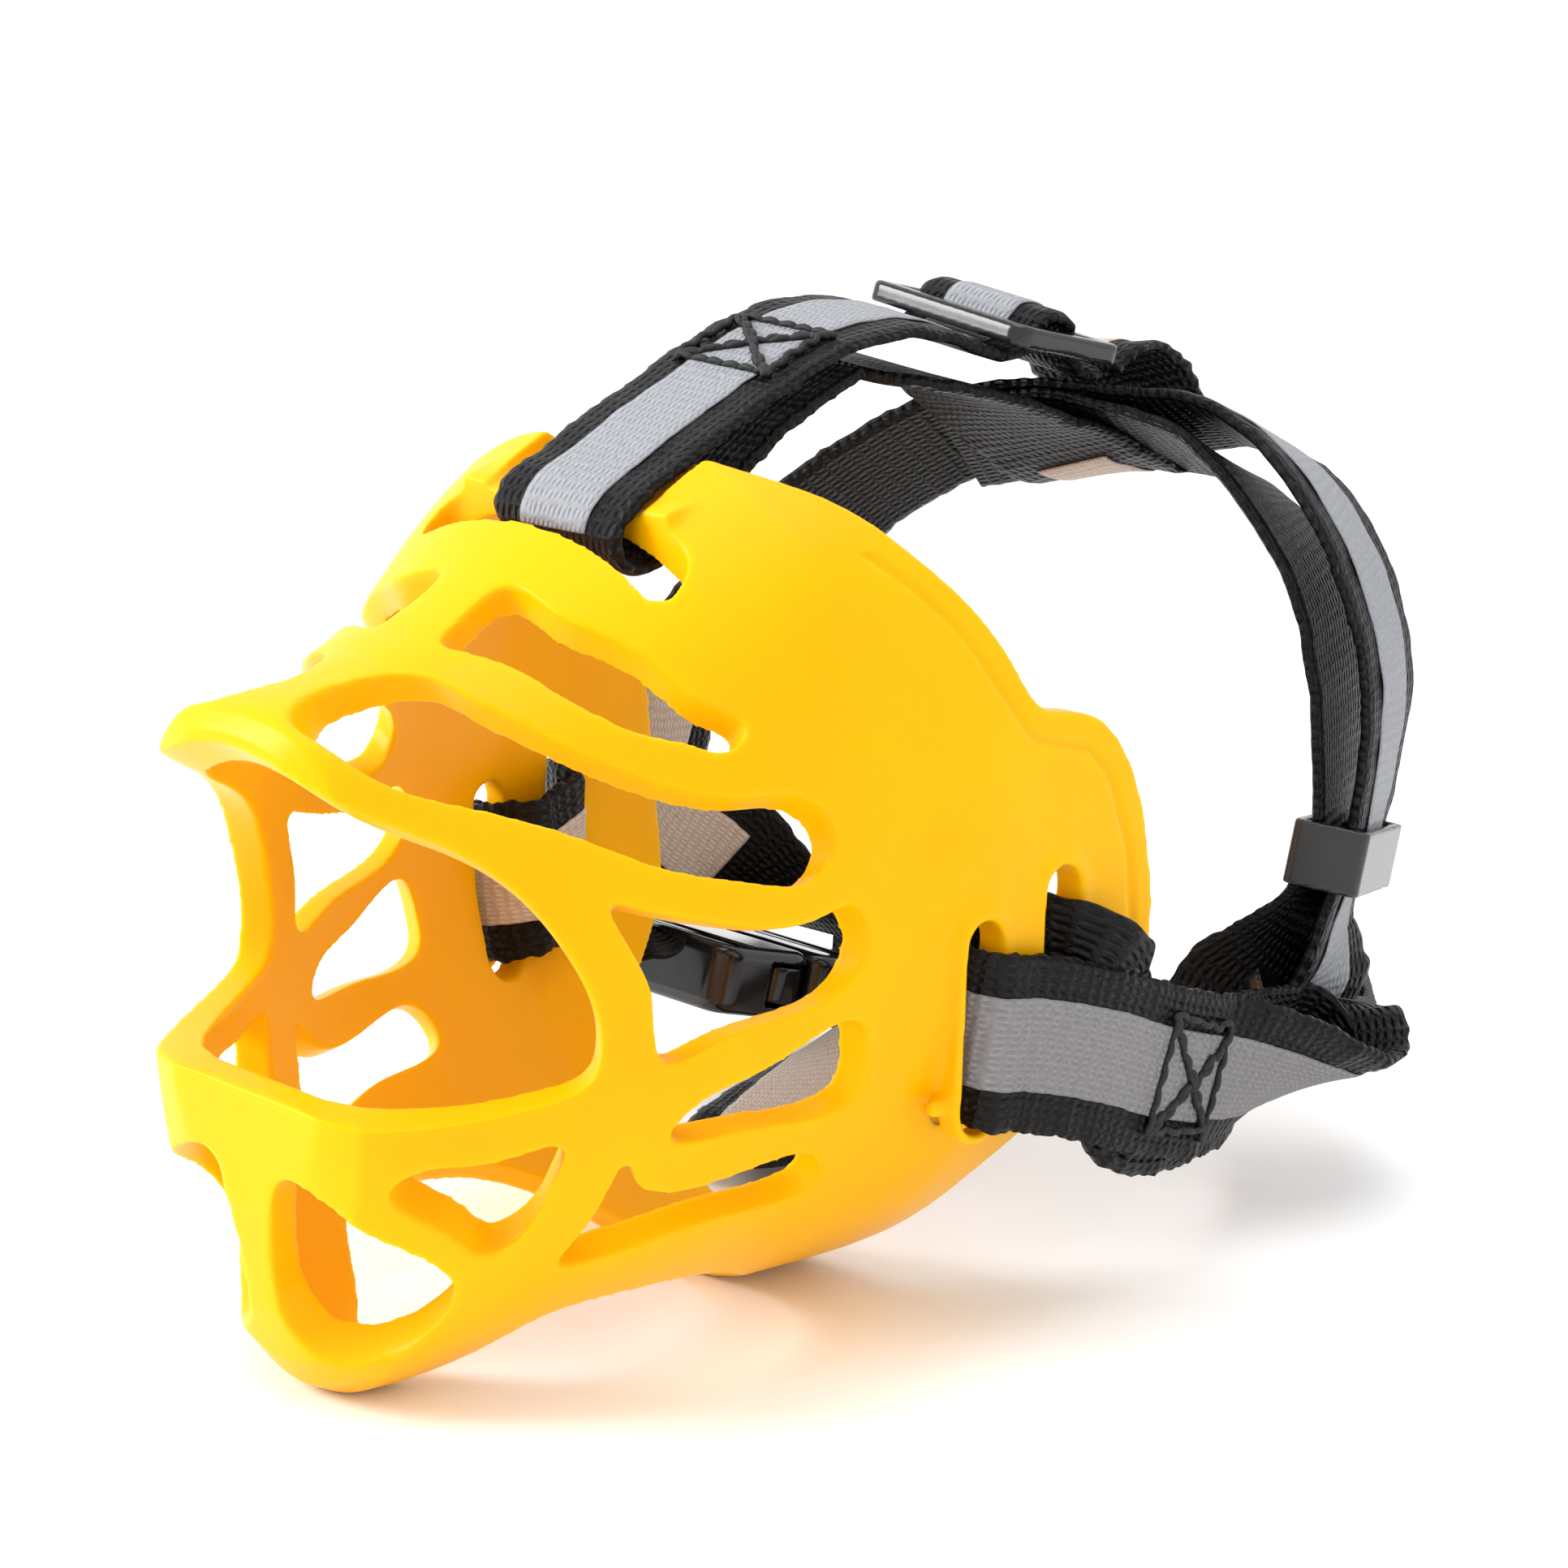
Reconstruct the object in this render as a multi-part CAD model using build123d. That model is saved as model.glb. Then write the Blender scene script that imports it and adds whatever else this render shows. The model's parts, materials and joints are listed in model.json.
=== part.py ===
from build123d import *
import math
import os

# ---------------------------------------------------------------- driving dimensions, mm
WALL = 4.2                    # thickness of the moulded basket wall
FRONT_Y = -77.5               # foremost plane of the basket
REAR_Y = 24.0                 # rearmost plane of the rough shell, behind the ear bumps
WEB_WIDTH = 20.0              # nylon webbing
WEB_THICK = 1.6
TAPE_WIDTH = 10.5             # reflective tape sewn on the webbing
TAPE_THICK = 0.35
NOSE_LENGTH = 40.0            # over this length the inner surface closes up behind the nose
SECTION_POINTS = 28           # points round each shell section

# Stations of the outer shell along the snout:
# y, half width, top z, bottom z, z of the widest line, fullness above, fullness below
STATIONS = [
    (-77.5, 13.5, 75.0, 24.0, 50.0, 3.2, 2.6),
    (-76.0, 18.0, 77.3, 12.0, 46.0, 3.2, 2.4),
    (-72.0, 21.8, 78.6, 2.0, 42.0, 2.9, 2.0),
    (-66.0, 25.5, 79.3, -0.8, 40.0, 2.5, 1.9),
    (-58.0, 29.5, 81.0, -0.8, 40.0, 2.2, 1.8),
    (-46.0, 34.2, 86.3, -0.4, 40.0, 2.15, 1.8),
    (-32.0, 38.5, 95.0, -0.4, 42.0, 2.5, 1.8),
    (-20.0, 41.2, 100.0, -0.8, 44.0, 2.8, 1.9),
    (-5.0, 43.6, 101.0, -0.8, 45.0, 2.8, 2.0),
    (REAR_Y, 43.5, 100.0, 2.5, 45.0, 2.8, 2.0),
]
HEART = Vector(0, -34, 42)    # openings are cut along rays from this point inside the snout

# Rear rim seen from the side: (y, z) from the top of the hood down to the underside
RIM = [
    (-23.5, 104), (-22.5, 99.5), (-16, 95.4), (-9, 88.2), (-5, 83.3), (-1, 76.5), (2.2, 71.6), (6, 70.4),
    (11, 69), (15.5, 64), (18.6, 54), (19.6, 42), (18, 31), (12, 24), (6, 19), (1.6, 14.7), (-2, 7), (-5, -3),
]

# Each opening: the direction it faces and the loop of points that its rim passes through
OPENINGS = {
    "nose_window": ((0.35, -0.3, 0.88), [
        (5.2, -52.8, 82.5), (4.6, -48, 84.8), (5.2, -44.8, 86.6), (12.5, -44, 85), (18.1, -42.2, 83.1),
        (23.3, -40, 80.8), (29.6, -36.7, 76.5), (32.3, -34.7, 73.8), (31.8, -36, 72.3), (29.7, -39.2, 72.8),
        (24.8, -44.4, 74.8), (19.6, -48.2, 77.8), (11, -51.8, 81.4)]),
    "cheek_window": ((0.72, -0.45, 0.5), [
        (4.8, -72.4, 78.2), (3.6, -66, 79.4), (5.6, -61, 79.9), (8.5, -58.5, 79.6), (13, -57, 78.1),
        (19.7, -53.1, 74.8), (24, -49.4, 72.1), (27.6, -45.3, 69.8), (34, -36.3, 67.1), (37, -30, 66.4),
        (38.7, -27.4, 61.6), (38.6, -28.6, 59.4), (35.7, -37.2, 58.9), (31.1, -45.8, 61.3),
        (26.5, -53.1, 65.1), (21.4, -61.3, 68.5), (16.5, -70.7, 72.4), (10.5, -74, 76)]),
    "upper_side_window": ((0.9, -0.42, 0.1), [
        (30.1, -51.3, 57.9), (34.5, -41.8, 54.6), (38.9, -29.3, 53.5), (40, -25.2, 54), (40.4, -23.9, 50),
        (39.9, -25.8, 46.6), (35.3, -42.7, 41.8), (33.7, -47.7, 40.7), (33.1, -48.5, 46.5),
        (31.1, -50.8, 54.6)]),
    "middle_side_window": ((0.93, -0.3, -0.12), [
        (33.4, -46.2, 32.2), (34.7, -43.5, 35), (37.1, -36.2, 37.5), (40, -24.5, 40.4), (40, -23.5, 37),
        (38.7, -24, 32), (37.2, -28.5, 30.6), (34.6, -40.3, 31)]),
    "lower_side_window": ((0.75, -0.35, -0.5), [
        (30.6, -50.3, 28.6), (32.6, -38.4, 24.5), (34.5, -26, 23.6), (33.6, -25.3, 21.8), (30, -36.4, 19.2),
        (24.9, -51.3, 16.9), (23.9, -54, 17), (27.6, -52.6, 23)]),
    "front_corner_window": ((0.62, -0.65, -0.3), [
        (19.9, -73.4, 29.6), (22, -71, 31.1), (25.1, -65.1, 31.3), (28.5, -57.8, 31.9), (27.6, -58.4, 28.8),
        (24.2, -61.2, 21.8), (22.9, -63.2, 20.6), (21.6, -68.5, 24.4)]),
    "chin_window": ((0.3, -0.85, -0.45), [
        (4.4, -77, 25), (6.5, -77.3, 28), (12.8, -76.8, 26.6), (17.1, -74.6, 23.7), (20.2, -66.4, 16.6),
        (18.6, -66, 13.4), (8.4, -72.5, 7), (5.2, -74, 8.5)]),
}
# Loops that cross the middle plane list their left half only, from the middle round to the middle
MIDDLE_OPENINGS = {
    "mouth": ((0, -1, 0.05), [
        (0, -77, 73.6), (7.2, -77.5, 73), (14.8, -76, 70.5), (20.9, -67.7, 65.8), (25.6, -60.8, 59.7),
        (29, -56.8, 52.6), (30.8, -54.6, 45), (30.9, -55, 41), (28.5, -59.8, 38), (22, -70.5, 36.7),
        (10.8, -77.5, 36.9), (0, -77.5, 37)]),
    "floor": ((0, -0.1, -1), [
        (0, -63, 0), (6, -61, 0.3), (13, -57, 3.5), (18.5, -52.5, 8), (20.5, -46, 9.5), (21, -36, 9.5),
        (19, -25, 6.5), (14, -19, 3), (7, -17.5, 0.5), (0, -17.5, 0)]),
}

# Slots for webbing
TOP_SLOT = {"x": 1.5, "y": -34.2, "half_length": 20.0, "width": 5.4}
SIDE_SLOTS = [(-9.6, 37.6, 24.0), (3.2, 41.0, 24.5)]   # y, z of the middle, length
SIDE_SLOT_WIDTH = 5.2
RIM_BEAD = 1.5                # raised rim round each side slot
SIDE_REACH = 43.9             # how far out the beads stand

# Hood arch that the overhead strap loops round: (y, z) outlines drawn along X
ARCH_BAR = [(-31.4, 90.1), (-22.0, 93.2), (-22.0, 96.9), (-31.4, 94.2)]
ARCH_HALF = 17.0
SADDLE = [(-31.6, 93.2), (-20.0, 97.2), (-20.0, 106.0), (-31.6, 106.0)]
SADDLE_HALF = 12.5

REST_PAD = Vector(0, -11, 0)  # middle of the flat under the rear of the basket: the part's origin

# Webbing routes: middle of the webbing and the direction across it
OVERHEAD_SLIDER = ((0, 39.4, 106.0), (1, 0, -0.14), (0, 1, -0.24))
OVERHEAD = [
    ((0.5, 5, 104.6), (1, 0, -0.05)), ((1, -4, 101.6), (1, 0, -0.05)), ((1.5, -12.6, 97.2), (1, 0, -0.05)),
    ((2, -18, 92.8), (1, 0, -0.05)), ((2.3, -24, 90.6), (1, 0, -0.05)), ((2.5, -30, 88.1), (1, 0, -0.08)),
    ((2.6, -33.2, 89.2), (1, 0, -0.1)), ((2.6, -34, 92.2), (1, 0, -0.1)), ((2.5, -31.6, 95), (1, 0, -0.08)),
    ((2.2, -26.5, 97.2), (1, 0, -0.06)), ((1.8, -20.5, 99.8), (1, 0, -0.06)),
    ((1.2, -12, 103), (1, 0, -0.06)), ((0.8, -1, 107), (1, 0, -0.08)), ((0.4, 9, 109), (1, 0, -0.1)),
    ((0.2, 19, 108.6), (1, 0, -0.12)),
]
# Weave of the webbing through a slider: (distance along, height), under, over and under its bars
WEAVE = [(-11, -2.8), (-7.8, -3.0), (-4.6, -1.7), (-2.9, 1.6), (-1.4, 2.7), (1.4, 2.7), (2.9, 1.6),
         (4.6, -1.7), (7.8, -3.0), (10.4, -2.7)]
OVERHEAD_FACE = -1
OVERHEAD_TAPE = (7.6, 24)     # from and to, counted in route points
OVERHEAD_SEAM = (11.4, 12.4)
WRAP = [
    ((0, 51, 101), (1, 0.05, -0.1)), ((0, 54.5, 101.8), (0.97, 0.2, -0.05)), ((0, 58.8, 100), (0.93, 0.36, 0.05)),
    ((0, 63.2, 95.4), (0.9, 0.38, 0.14)), ((0, 66.2, 88.8), (0.9, 0.38, 0.2)), ((0, 63.8, 82.6), (0.9, 0.38, 0.22)),
    ((0, 57, 82.4), (0.9, 0.38, 0.22)), ((0, 48.6, 87), (0.92, 0.36, 0.2)), ((0, 40, 91.2), (0.94, 0.24, 0.16)),
    ((0, 32, 98), (1, 0.05, -0.05)), ((0, 23, 101.6), (1, 0, -0.1)), ((0, 13, 103.2), (1, 0, -0.1)),
]
NECK = [
    ((-43, 52, 17.2), (1, 0, 0)), ((-43.4, 47, 21.6), (1, 0.1, 0.1)), ((-44.4, 40.4, 26.4), (0.75, 0.55, 0.3)),
    ((-45.4, 34, 31), (0.25, 0.9, 0.3)), ((-46, 31.4, 38), (0, 1, 0)), ((-45.6, 30.6, 47), (0, 1, -0.05)),
    ((-42, 31, 59), (0.1, 0.99, -0.15)), ((-34, 34.4, 71), (0.1, 0.95, -0.3)),
    ((-24, 40.2, 82), (0.05, 0.9, -0.42)), ((-12, 47.4, 90.2), (0, 0.87, -0.48)), ((0, 54.2, 93), (0, 0.87, -0.48)),
    ((10.3, 58.4, 93), (-0.05, 0.87, -0.48)), ((20.5, 60.8, 93.4), (-0.12, 0.9, -0.42)),
    ((30.5, 62.1, 88.4), (-0.2, 0.92, -0.32)), ((36.8, 65.9, 76.9), (-0.28, 0.93, -0.2)),
    ((39.6, 68.3, 62.4), (-0.34, 0.93, -0.1)), ((39.4, 65.8, 45.6), (-0.42, 0.9, -0.14)),
    ((39.0, 64.2, 41.6), (-0.43, 0.9, -0.12)), ((38.2, 62.1, 36.0), (-0.45, 0.88, -0.1)),
]
NECK_TAPE = (3.7, 18)
# Doubled webbing that runs inside the neck strap, from under the overhead loop down through the keeper
LINING = [
    ((-12, 45.7, 87), (0, 0.87, -0.48)), ((0, 52.4, 89.8), (0, 0.87, -0.48)),
    ((10, 56.2, 89.8), (-0.05, 0.87, -0.48)), ((19.5, 59, 87), (-0.12, 0.9, -0.42)),
    ((28, 62.4, 79.6), (-0.2, 0.92, -0.32)), ((34, 64, 69.6), (-0.28, 0.93, -0.2)),
    ((36, 64.6, 58), (-0.34, 0.93, -0.1)), ((36.2, 64.5, 46.1), (-0.42, 0.9, -0.14)),
    ((35.8, 62.9, 42.2), (-0.43, 0.9, -0.12)),
]
KEEPER = ((37.5, 63.5, 41.6), (-0.43, 0.9, -0.2), (0.03, 0.24, 0.965))
LEFT_TAB = [
    ((43.6, 26, 23.6), (0, 0.39, 0.92)), ((45, 16, 29.4), (0, 0.36, 0.93)), ((45.4, 10.5, 34), (0, 0.24, 0.97)),
    ((45.5, 6.8, 37.6), (0, 0.12, 0.99)), ((43.6, 4.4, 39.4), (0, 0.05, 1)), ((39.6, 3, 39.8), (0, 0.03, 1)),
    ((36, 2.2, 39.8), (0, 0.03, 1)), ((34.2, -3, 38.6), (0, 0, 1)), ((33.8, -6.4, 38.2), (0, 0.03, 1)),
    ((36.8, -9.1, 37.5), (0, 0.04, 1)), ((41.5, -9.9, 36.6), (0, 0.06, 1)),
    ((44.9, -8.4, 36), (0, 0.15, 0.99)), ((45.5, -3, 34.8), (0, 0.27, 0.96)), ((47.1, 7, 31.4), (0, 0.36, 0.93)),
    ((46.9, 16, 27.4), (0, 0.39, 0.92)), ((45.8, 27, 23.4), (0, 0.39, 0.92)), ((44.2, 37, 20.4), (-0.05, 0.36, 0.92)),
    ((42.8, 45, 18), (-0.12, 0.36, 0.92)), ((42, 51.2, 15.8), (-0.25, 0.42, 0.87)), ((41.2, 55.4, 13.6), (-0.35, 0.45, 0.8)),
]
RIGHT_TAB = [((-x, y, z), (-a, b, c)) for (x, y, z), (a, b, c) in LEFT_TAB[2:14]] + [
    ((-46.8, 12, 28.4), (-0.1, 0.35, 0.93)), ((-45.8, 15.6, 26.2), (-0.4, 0.3, 0.85)),
    ((-45, 18, 24.4), (-0.9, 0.05, 0.3)), ((-45, 19.6, 23.6), (-1, 0, -0.05)),
]
TAB_FACE = 1
TAB_TAPE = (10.4, 18.4)
TAB_SEAM = (14.0, 15.1)
LEFT_SLIDER = ((31.6, 59.6, 26.4), (0.07, 0.91, -0.4), (0.6, -0.36, -0.72))
LEFT_SLIDER_LENGTH = 15.6
BUCKLE_TAIL = [
    ((-43, 56.4, 11), (0.3, 0, 0.95)), ((-35.4, 56, 10.9), (0.15, 0, 1)), ((-27, 51, 10.9), (0.05, 0, 1)),
    ((-24, 40, 10.9), (0.05, 0, 1)), ((-17, 29, 11), (0.05, 0, 1)), ((-9.5, 20.5, 11.2), (0.05, 0, 1)),
]

# Stitching
STITCH_WIDTH = 14.0
THREAD = 0.8
FACE_GAP = 0.04               # between tape and webbing
SEAM_LIFT = 1.85              # middle of the webbing to the middle of the thread

# Plastic fittings
GLIDE_WIDTH, GLIDE_LENGTH, GLIDE_THICK = 25.5, 20.0, 2.6
KEEPER_WIDTH, KEEPER_DEPTH, KEEPER_WALL, KEEPER_HEIGHT = 24.2, 9.4, 1.2, 8.0
BUCKLE = ((-43, 39, 13.7), (1, 0, 0), (0, 0.957, -0.29))   # middle of the joint face, across, towards the plug
BUCKLE_WIDTH, BUCKLE_THICK = 25.0, 9.2
SOCKET_LENGTH, SOCKET_DEPTH = 17.5, 9.5
SIDE_WINDOW, SIDE_WINDOW_Y = 7.5, 4.6
PLUG_GAP, PLUG_BLOCK, TONGUE = 0.4, 12.5, 8.5
PRONG_X, PRONG_WIDTH, PRONG_LENGTH = 8.6, 1.8, 9.4


def monotone(table, column, y):
    """Value of one column at y, by monotone cubic interpolation through the stations."""
    rows = [(row[0], row[column]) for row in table]
    slopes = [(b[1] - a[1]) / (b[0] - a[0]) for a, b in zip(rows, rows[1:])]
    ends = [slopes[0]]
    for left, right in zip(slopes, slopes[1:]):
        ends.append(0 if left * right <= 0 else 2 * left * right / (left + right))
    ends.append(slopes[-1])
    for (y0, v0), (y1, v1), m0, m1 in zip(rows, rows[1:], ends, ends[1:]):
        if y <= y1:
            h = y1 - y0
            t = (y - y0) / h
            rise = (3 - 2 * t) * t * t
            return v0 + (v1 - v0) * rise + h * t * (1 - t) * (m0 * (1 - t) - m1 * t)
    return rows[-1][1]


def section(y, inset):
    """Closed outline of the shell across the snout at y, drawn inward by inset."""
    half_width, top, bottom, wide_z, full_up, full_down = [monotone(STATIONS, k, y) for k in range(1, 7)]
    depth = inset * max(0.0, 1 - (y - FRONT_Y) / NOSE_LENGTH)
    points = []
    for i in range(SECTION_POINTS):
        a = 2 * math.pi * (i + 0.5) / SECTION_POINTS
        c, s = math.cos(a), math.sin(a)
        n = full_up if s > 0 else full_down
        rise = (top - inset - wide_z) if s > 0 else (wide_z - bottom - inset)
        x = (half_width - inset) * math.copysign(abs(c) ** (2 / n), c)
        z = wide_z + rise * math.copysign(abs(s) ** (2 / n), s)
        points.append((x, y + depth, z))
    return Face(Wire([Spline(*points, periodic=True).edge()]))


def shell_body(inset):
    """The snout shape as a solid; close sections round the nose, wider ones along the cheeks."""
    close = [FRONT_Y + 0.45 * i ** 1.9 for i in range(7)]
    count = 17
    wide = [close[-1] + (REAR_Y - close[-1]) * (i + 1) / count for i in range(count)]
    return loft([section(y, inset) for y in close + wide], ruled=True)


def ray_cutter(rim, facing, near=0.25, far=1.9):
    """Solid whose side walls all run along rays from HEART through the rim points."""
    plane = Plane(origin=HEART, z_dir=Vector(*facing).normalized())
    local = [plane.to_local_coords(Vector(*p)) for p in rim]
    depth = sum(p.Z for p in local) / len(local)
    flat = [(p.X * depth / p.Z, p.Y * depth / p.Z) for p in local]
    faces = []
    for k in (near, far):
        loop = Spline(*[(x * k, y * k) for x, y in flat], periodic=True)
        faces.append(plane.offset(depth * k) * Face(Wire([loop.edge()])))
    return loft(faces, ruled=True)


def mirrored(shape):
    return mirror(shape, Plane.YZ)


def obround_cutter(at, facing, up, length, width, depth):
    plane = Plane(origin=at, x_dir=up, z_dir=facing)
    return extrude(plane * SlotOverall(length, width), depth / 2, both=True)


def slab(corners, half_length):
    """Straight bar along X whose side outline is the given (y, z) corners."""
    outline = Polyline(*corners, corners[0])
    return extrude(Plane.YZ * Face(Wire(outline.edges())), half_length, both=True)


def slot_rim(y, z, length):
    """Raised oval bead round a side slot, kept by the wall that it grows out of."""
    ring = SlotOverall(length + 2 * RIM_BEAD, SIDE_SLOT_WIDTH + 2 * RIM_BEAD)
    ring -= SlotOverall(length, SIDE_SLOT_WIDTH)
    plane = Plane(origin=(40.5, y, z), x_dir=(0, 0.05, 1), z_dir=(1, 0, 0))
    return extrude(plane * ring, SIDE_REACH - 40.5)


def basket():
    shell = shell_body(0) - shell_body(WALL)
    rim = Spline(*RIM)
    tail = Polyline(RIM[-1], (60, -3), (60, 110), (RIM[0][0], 110), RIM[0])
    profile = Plane.YZ * Face(Wire([rim.edge(), *tail.edges()]))
    shell -= extrude(profile, 60, both=True)
    shell += slab(ARCH_BAR, ARCH_HALF)
    for facing, rim_points in OPENINGS.values():
        cutter = ray_cutter(rim_points, facing)
        shell -= cutter
        shell -= mirrored(cutter)
    for facing, half in MIDDLE_OPENINGS.values():
        far_half = [(-x, y, z) for x, y, z in half[1:-1]]
        shell -= ray_cutter(half + far_half[::-1], facing)
    shell -= slab(SADDLE, SADDLE_HALF)
    slot = TOP_SLOT
    shell -= obround_cutter((slot["x"], slot["y"], 90), (0, 0, 1), (1, 0, 0), 2 * slot["half_length"],
                            slot["width"], 40)
    for y, z, length in SIDE_SLOTS:
        bead = slot_rim(y, z, length)
        shell += bead
        shell += mirrored(bead)
        cutter = obround_cutter((42, y, z), (1, 0, 0), (0, 0.05, 1), length, SIDE_SLOT_WIDTH, 24)
        shell -= cutter
        shell -= mirrored(cutter)
    shell -= Pos(0, -30, -10) * Box(120, 140, 20)
    return shell


# ---------------------------------------------------------------- webbing
def along(route, count):
    """Evenly stepped Catmull-Rom samples of a route of (centre, across) pairs."""
    rows = [Vector(*centre) for centre, _ in route]
    sides = [Vector(*across).normalized() for _, across in route]
    samples = []
    last = len(rows) - 1
    for i in range(count + 1):
        t = i * last / count
        k = min(int(t), last - 1)
        u = t - k
        p0, p1, p2, p3 = [rows[max(0, min(last, k + j))] for j in (-1, 0, 1, 2)]
        centre = (p1 * 2 + (p2 - p0) * u + (p0 * 2 - p1 * 5 + p2 * 4 - p3) * u * u
                  + (p1 * 3 - p0 - p2 * 3 + p3) * u * u * u) * 0.5
        samples.append((centre, (sides[k] * (1 - u) + sides[k + 1] * u).normalized()))
    return samples


def band_frame(samples, i):
    """Middle, direction along, direction across and outward normal of the webbing at one sample."""
    centre, across = samples[i]
    run = (samples[min(len(samples) - 1, i + 1)][0] - samples[max(0, i - 1)][0]).normalized()
    side = (across - run * across.dot(run)).normalized()
    return centre, run, side, run.cross(side)


def ribbon(route, width, thick, lift=0.0, steps=3, span=None):
    """Flat band along a route; lift moves it off the middle of the webbing along its outward face."""
    samples = along(route, steps * (len(route) - 1))
    first, last = span or (0, len(route) - 1)
    sections = []
    for i in range(len(samples)):
        if first * steps <= i <= last * steps:
            centre, run, side, outward = band_frame(samples, i)
            plane = Plane(origin=centre + outward * lift, x_dir=side, z_dir=run)
            sections.append(plane * Face(Wire(Rectangle(width, thick).edges())))
    return loft(sections, ruled=True)


def tape_on(route, side, span, steps=3):
    """Reflective tape on one face of the webbing; side 1 is the outward face."""
    lift = side * (WEB_THICK / 2 + TAPE_THICK / 2 + FACE_GAP)
    return ribbon(route, TAPE_WIDTH, TAPE_THICK, lift, steps, span)


def box_stitch(route, side, span):
    """Thread of a box stitch with its cross, lying on the webbing between two places of the route."""
    steps = 10
    samples = along(route, steps * (len(route) - 1))
    start, end = round(span[0] * steps), round(span[1] * steps)
    half = STITCH_WIDTH / 2
    pattern = []
    for x0, x1 in ((-half, -half), (half, half), (-half, half), (half, -half)):
        path = []
        for i in range(start, end + 1):
            centre, run, across, outward = band_frame(samples, i)
            x = x0 + (x1 - x0) * (i - start) / (end - start)
            path.append((centre + across * x + outward * side * SEAM_LIFT, outward))
        pattern.append(thread(path))
    for i in (start, end):
        centre, run, across, outward = band_frame(samples, i)
        lifted = centre + outward * side * SEAM_LIFT
        pattern.append(thread([(lifted - across * half, outward), (lifted + across * half, outward)]))
    whole = pattern[0]
    for piece in pattern[1:]:
        whole = whole + piece
    return whole


def thread(path):
    """Square thread through a row of (point, surface normal)."""
    sections = []
    for i, (point, normal) in enumerate(path):
        run = (path[min(len(path) - 1, i + 1)][0] - path[max(0, i - 1)][0]).normalized()
        reach = THREAD / 2 if i in (0, len(path) - 1) else 0
        point = point + run * (reach if i else -reach)
        plane = Plane(origin=point, x_dir=normal.cross(run), z_dir=run)
        sections.append(plane * Face(Wire(Rectangle(THREAD, THREAD).edges())))
    return loft(sections, ruled=True)


# ---------------------------------------------------------------- plastic fittings
def fitting_plane(place):
    """Plane of a fitting from its (centre, across, run) triple."""
    centre, across, run = [Vector(*v) for v in place]
    return Plane(origin=centre, x_dir=across, z_dir=across.cross(run))


def weave(place):
    """Route points that take the webbing through a slider."""
    plane = fitting_plane(place)
    return [(tuple(plane.from_local_coords(Vector(0, y, z))), place[1]) for y, z in WEAVE]


def tri_glide(place, length):
    """Flat slider with two slots and three bars."""
    frame = RectangleRounded(GLIDE_WIDTH, length, 2.2)
    slot = length / 2 - 5.6
    for y in (-1, 1):
        frame -= Pos(0, y * (2 + slot / 2)) * RectangleRounded(GLIDE_WIDTH - 4.6, slot, 0.8)
    body = extrude(Sketch() + frame, GLIDE_THICK / 2, both=True)
    body = fillet(body.edges().filter_by(GeomType.LINE).group_by(Axis.Z)[-1].filter_by(Axis.X), 0.6)
    return fitting_plane(place).location * body


def keeper(place):
    """Rectangular loop that holds the doubled webbing together."""
    tube = RectangleRounded(KEEPER_WIDTH, KEEPER_DEPTH, 1.0)
    tube -= RectangleRounded(KEEPER_WIDTH - 2 * KEEPER_WALL, KEEPER_DEPTH - 2 * KEEPER_WALL, 0.4)
    centre, across, run = [Vector(*v) for v in place]
    plane = Plane(origin=centre, x_dir=across, z_dir=run)
    return extrude(plane * tube, KEEPER_HEIGHT / 2, both=True)


def buckle_plane():
    centre, across, run = [Vector(*v) for v in BUCKLE]
    return Plane(origin=centre, x_dir=across, z_dir=across.cross(run))


def buckle_socket():
    """Hollow half of the side release buckle, open at the mouth and along both sides for the prongs."""
    w, t = BUCKLE_WIDTH, BUCKLE_THICK
    body = Pos(0, -SOCKET_LENGTH / 2) * extrude(RectangleRounded(w, SOCKET_LENGTH, 3.5), t / 2, both=True)
    body = fillet(body.edges().group_by(Axis.Z)[-1], 1.6)
    body = fillet(body.edges().group_by(Axis.Z)[0], 1.6)
    hollow = Pos(0, -SOCKET_DEPTH / 2 + 1) * Box(w - 4.4, SOCKET_DEPTH + 2, t - 3.2)
    reach = SIDE_WINDOW_Y + SIDE_WINDOW / 2 + 1
    sides = Pos(0, 1 - reach / 2) * Box(w + 4, reach, t - 3.2)
    bar_gap = Pos(0, -SOCKET_LENGTH + 4.6) * Box(WEB_WIDTH + 2, 4.2, t + 4)
    return buckle_plane().location * (body - hollow - sides - bar_gap)


def buckle_plug():
    """Solid half: a block with a webbing bar and a guide tongue that enters the socket."""
    w, t = BUCKLE_WIDTH, BUCKLE_THICK
    block = Pos(0, PLUG_GAP + PLUG_BLOCK / 2) * extrude(RectangleRounded(w, PLUG_BLOCK, 3), t / 2, both=True)
    block = fillet(block.edges().group_by(Axis.Z)[-1], 1.4)
    block = fillet(block.edges().group_by(Axis.Z)[0], 1.4)
    gap = Pos(0, PLUG_GAP + PLUG_BLOCK - 5.2) * Box(WEB_WIDTH + 2, 4.2, t + 4)
    tongue = Pos(0, PLUG_GAP - TONGUE / 2 + 0.5) * Box(5, TONGUE + 1, t - 4)
    pockets = Sketch()
    for x in (-PRONG_X, PRONG_X):
        pockets += Pos(x, PLUG_GAP) * Rectangle(PRONG_WIDTH + 1.2, 3)
    pocket = extrude(pockets, (t - 3.4) / 2, both=True)
    return buckle_plane().location * (block - gap + tongue - pocket)


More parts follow.
